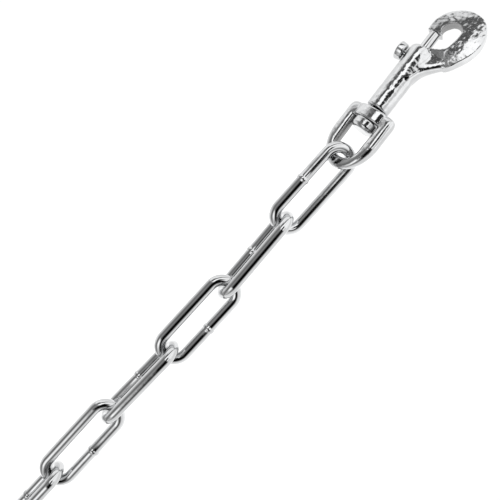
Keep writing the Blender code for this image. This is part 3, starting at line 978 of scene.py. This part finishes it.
class CHAIN_OT_bolt_spring(bpy.types.Operator):
    """Wind the coil behind the bolt at one fixed length; the real coil shortens as the bolt is drawn back"""

    bl_idname = "chain.bolt_spring"
    bl_label = "Bolt spring"

    def execute(self, context):
        sizes = context.scene.chain_bolt
        wire = sizes.spring_wire / 2
        low, high = SPRING_ENDS[0] + wire, SPRING_ENDS[1] - wire
        rest_selection()
        bpy.ops.mesh.primitive_circle_add(vertices=SPRING_WIRE_SIDES, radius=wire,
                                          location=(low, sizes.spring_radius, 0.0))
        spring = bpy.context.object
        spring.name = "bolt_spring_coil"
        apply_place(spring)
        winding = spring.modifiers.new("winding", "SCREW")
        winding.axis = "X"
        winding.iterations = SPRING_TURNS
        winding.steps = winding.render_steps = SPRING_STEPS
        winding.screw_offset = (high - low) / SPRING_TURNS
        winding.use_smooth_shade = True
        apply_modifiers(spring)
        edit(spring)
        bpy.ops.mesh.select_all(action="SELECT")
        bpy.ops.mesh.fill_holes(sides=SPRING_WIRE_SIDES)
        bpy.ops.mesh.normals_make_consistent(inside=False)
        rest_selection()
        shade(spring, SPRING_SMOOTH_UNDER)
        put(spring, snap_place(context.scene.chain_snap.roll))
        dress(spring, spring_finish(context.scene.chain_finishes), "snap", "spring_steel", "bolt_spring")
        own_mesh(spring)
        return {"FINISHED"}


# Swivel eye


class CHAIN_OT_swivel_eye(bpy.types.Operator):
    """Model the swivel eye with the hub that turns on the tenon"""

    bl_idname = "chain.swivel_eye"
    bl_label = "Swivel eye"

    def execute(self, context):
        sizes = context.scene.chain_eye
        half = self.bow(sizes) + self.shoulder(sizes)
        mirrored = [((inner[0], -inner[1]), (outer[0], -outer[1]), *rest) for inner, outer, *rest in half]
        eye = sweep("eye_loop", half + mirrored[:0:-1], closed=True)
        foot = EYE_TOP - EYE_HUB_LENGTH
        top = EYE_TOP - EYE_HUB_DROP
        hub = rod("hub", foot, top, sizes.hub_radius, ((foot, EYE_HUB_ROUNDS[0]), (top, EYE_HUB_ROUNDS[1])))
        hub.scale = (1.0, EYE_HUB_STRETCH, 1.0)
        apply_place(hub)
        combine(eye, hub, "UNION")
        combine(eye, rod("hub_hole", foot - MM, MM, EYE_HOLE_RADIUS), "DIFFERENCE")
        one_skin(eye, context.scene.chain_snap.grain * EYE_GRAIN_SHARE, EYE_SOFTEN_ROUNDS)
        ripple(eye, EYE_RIPPLE[0], context.scene.chain_snap.ripple * EYE_RIPPLE[1])
        shade(eye)
        # The eye's inner sides get painted shade, a darker tone where shade falls, and a softer gloss
        inner = sizes.inner_half_width + HOLLOW_MARGIN
        mark_shade_and_dull_hollows(eye, lambda spot, normal: abs(spot.y) < inner and spot.x < foot
                    and -normal.y * spot.y > HOLLOW_FACING * abs(spot.y))
        eye.name = "cast_swivel_eye"
        put(eye, snap_place(sizes.lean))
        dress(eye, casting_finish(context.scene.chain_finishes), "eye", "plated_casting", "swivel_eye")
        return {"FINISHED"}

    @staticmethod
    def bow(sizes):
        """Sections from the bow's middle to the waist, on the +Y side."""
        sections = []
        for step in range(EYE_BOW_STEPS + 1):
            angle = math.pi / 2 * step / EYE_BOW_STEPS
            ahead, aside = math.cos(angle), math.sin(angle)
            inner = (EYE_INNER_WAIST - (EYE_INNER_WAIST + EYE_INNER_END) * ahead,
                     sizes.inner_half_width * aside)
            outer = (EYE_OUTER_WAIST - (EYE_OUTER_WAIST + EYE_OUTER_END) * ahead,
                     sizes.outer_half_width * aside)
            swell = sizes.limb_half_thickness - sizes.bow_half_thickness
            half = sizes.bow_half_thickness + swell * aside ** 2
            sections.append((inner, outer, half, EYE_LIMB_ROUND * half, EYE_LIMB_ROUND * half, 1.0))
        return sections

    @staticmethod
    def shoulder(sizes):
        """Sections round the shoulder, fanned out from a point beside the opening's corner."""
        side = sizes.bar_width + EYE_INNER_CORNER
        fan = (EYE_TOP - side, sizes.shoulder_half_width - side)
        half = sizes.limb_half_thickness
        sections = []
        for step in range(EYE_SHOULDER_STEPS + 1):
            angle = math.pi / 2 * step / EYE_SHOULDER_STEPS
            up, aside = math.sin(angle), math.cos(angle)
            length = (up ** EYE_SHOULDER_POWER + aside ** EYE_SHOULDER_POWER) ** (1 / EYE_SHOULDER_POWER)
            reach = side / length
            inner = (fan[0] + EYE_INNER_CORNER * up, fan[1] + EYE_INNER_CORNER * aside)
            outer = (fan[0] + reach * up, fan[1] + reach * aside)
            sections.append((inner, outer, half, EYE_SHOULDER_ROUND * half, EYE_SHOULDER_ROUND * half, 1.0))
        return sections


# Stage


class CHAIN_OT_stage(bpy.types.Operator):
    """Lay the floor, light the tent around it and set the camera"""

    bl_idname = "chain.stage"
    bl_label = "Stage"

    def execute(self, context):
        stage = context.scene.chain_stage
        self.floor(stage)
        self.tent(context.scene)
        self.camera(context.scene, stage)
        context.scene.view_settings.view_transform = "Standard"
        context.scene.view_settings.look = "None"
        return {"FINISHED"}

    @staticmethod
    def floor(stage):
        rest_selection()
        bpy.ops.mesh.primitive_plane_add(size=stage.floor_width, location=(0.0, 0.0, -stage.floor_drop))
        floor = bpy.context.object
        floor.name = "floor"
        material = bpy.data.materials.new("lit floor")
        material.use_nodes = True
        tree = material.node_tree
        shader = tree.nodes["Principled BSDF"]
        shader.inputs["Base Color"].default_value = (*[FLOOR_BASE] * 3, 1.0)
        shader.inputs["Roughness"].default_value = 1.0
        shader.inputs["Specular IOR Level"].default_value = 0.0
        shader.inputs["Emission Color"].default_value = (*stage.floor, 1.0)
        split = tree.nodes.new("ShaderNodeSeparateXYZ")
        tree.links.new(tree.nodes.new("ShaderNodeTexCoord").outputs["Object"], split.inputs["Vector"])
        strength = FLOOR_GLOW
        for more, *edges in FLOOR_GLOWS:
            inside = 1.0
            for side, start, end in edges:
                rise = spread(tree, split.outputs[side], start, end, interpolation="SMOOTHSTEP")
                inside = worked_out(tree, "MULTIPLY", rise, inside)
            strength = worked_out(tree, "MULTIPLY_ADD", inside, more, strength)
        tree.links.new(strength, shader.inputs["Emission Strength"])
        floor.data.materials.append(material)

    @staticmethod
    def tent(scene):
        """A light tent whose panels leave dark gaps, so that the metal has something to mirror."""
        world = scene.world or bpy.data.worlds.new("tent")
        scene.world = world
        world.use_nodes = True
        tree = world.node_tree
        tree.nodes.clear()
        split = tree.nodes.new("ShaderNodeSeparateXYZ")
        tree.links.new(tree.nodes.new("ShaderNodeTexCoord").outputs["Generated"], split.inputs["Vector"])
        nearer = worked_out(tree, "MULTIPLY", split.outputs["Y"], -1.0)
        arc = worked_out(tree, "ARCTAN2", split.outputs["Z"], nearer)
        arc = worked_out(tree, "DIVIDE", arc, math.pi)

        light = CHAIN_OT_stage.panels(tree, arc, TENT_START)
        for fade, stops in ((TENT_LEFT_FADE, TENT_LEFT), (TENT_MIDDLE_FADE, TENT_MIDDLE),
                            (TENT_BESIDE_FADE, TENT_BESIDE), (TENT_RIGHT_FADE, TENT_RIGHT),
                            (TENT_END_FADE, TENT_END)):
            rise = spread(tree, split.outputs["X"], *fade, interpolation="SMOOTHSTEP")
            light = mixed(tree, rise, light, CHAIN_OT_stage.panels(tree, arc, stops))

        tent = tree.nodes.new("ShaderNodeBackground")
        tent.inputs["Strength"].default_value = TENT_STRENGTH
        tree.links.new(light, tent.inputs["Color"])
        backdrop = tree.nodes.new("ShaderNodeBackground")
        backdrop.inputs["Color"].default_value = (1.0, 1.0, 1.0, 1.0)
        choose = tree.nodes.new("ShaderNodeMixShader")
        tree.links.new(tree.nodes.new("ShaderNodeLightPath").outputs["Is Camera Ray"], choose.inputs[0])
        tree.links.new(tent.outputs["Background"], choose.inputs[1])
        tree.links.new(backdrop.outputs["Background"], choose.inputs[2])
        output = tree.nodes.new("ShaderNodeOutputWorld")
        tree.links.new(choose.outputs["Shader"], output.inputs["Surface"])

    @staticmethod
    def panels(tree, arc, stops):
        """Brightness round the chain, from the near horizon over the top to the far one."""
        ramp = tree.nodes.new("ShaderNodeValToRGB")
        steps = ramp.color_ramp
        steps.interpolation = "EASE"
        steps.elements.remove(steps.elements[-1])
        for number, (degrees, light) in enumerate(stops):
            step = steps.elements.new(degrees / 180.0) if number else steps.elements[0]
            step.position = degrees / 180.0
            step.color = (light, light, light, 1.0)
        tree.links.new(arc, ramp.inputs["Fac"])
        return ramp.outputs["Color"]

    @staticmethod
    def camera(scene, stage):
        azimuth, elevation, roll = stage.azimuth, stage.elevation, stage.roll
        back = Vector((-math.sin(azimuth) * math.cos(elevation),
                       -math.cos(azimuth) * math.cos(elevation), math.sin(elevation)))
        level = (-back).cross(Vector((0.0, 0.0, 1.0))).normalized()
        above = level.cross(-back)
        right = level * math.cos(roll) + above * math.sin(roll)
        up = above * math.cos(roll) - level * math.sin(roll)
        target = Vector((stage.target_x, TARGET_ACROSS, TARGET_HEIGHT))
        rest_selection()
        bpy.ops.object.camera_add()
        camera = bpy.context.object
        camera.name = "camera"
        camera.data.lens = stage.lens
        camera.data.sensor_width = SENSOR_WIDTH
        camera.data.clip_start = 0.01
        camera.data.clip_end = 50.0
        camera.matrix_world = (Matrix.Translation(target + back * stage.distance)
                               @ Matrix((right, up, back)).transposed().to_4x4())
        scene.camera = camera


# Panel and registration


class CHAIN_PT_panel(bpy.types.Panel):
    """Buttons that build the chain, in order"""

    bl_idname = "CHAIN_PT_panel"
    bl_label = "Chain with bolt snap"
    bl_space_type = "VIEW_3D"
    bl_region_type = "UI"
    bl_category = "Chain"

    def draw(self, context):
        for operator in OPERATORS:
            self.layout.operator(operator.bl_idname)
        for group in GROUPS:
            settings = getattr(context.scene, group)
            box = self.layout.box()
            for name in settings.bl_rna.properties.keys():
                if name not in ("rna_type", "name"):
                    box.prop(settings, name)


GROUPS = {
    "chain_links": LinkSizes,
    "chain_snap": SnapSizes,
    "chain_bolt": BoltSizes,
    "chain_eye": EyeSizes,
    "chain_finishes": Finishes,
    "chain_stage": StageSizes,
}
OPERATORS = (CHAIN_OT_links, CHAIN_OT_snap_body, CHAIN_OT_bolt, CHAIN_OT_bolt_spring,
             CHAIN_OT_swivel_eye, CHAIN_OT_stage)


def register():
    for group, kind in GROUPS.items():
        bpy.utils.register_class(kind)
        setattr(bpy.types.Scene, group, bpy.props.PointerProperty(type=kind))
    for operator in OPERATORS:
        bpy.utils.register_class(operator)
    bpy.utils.register_class(CHAIN_PT_panel)


def unregister():
    bpy.utils.unregister_class(CHAIN_PT_panel)
    for operator in reversed(OPERATORS):
        bpy.utils.unregister_class(operator)
    for group, kind in reversed(GROUPS.items()):
        delattr(bpy.types.Scene, group)
        bpy.utils.unregister_class(kind)


def main():
    register()
    bpy.ops.chain.links()
    bpy.ops.chain.snap_body()
    bpy.ops.chain.bolt()
    bpy.ops.chain.bolt_spring()
    bpy.ops.chain.swivel_eye()
    bpy.ops.chain.stage()


if __name__ == "__main__":
    main()
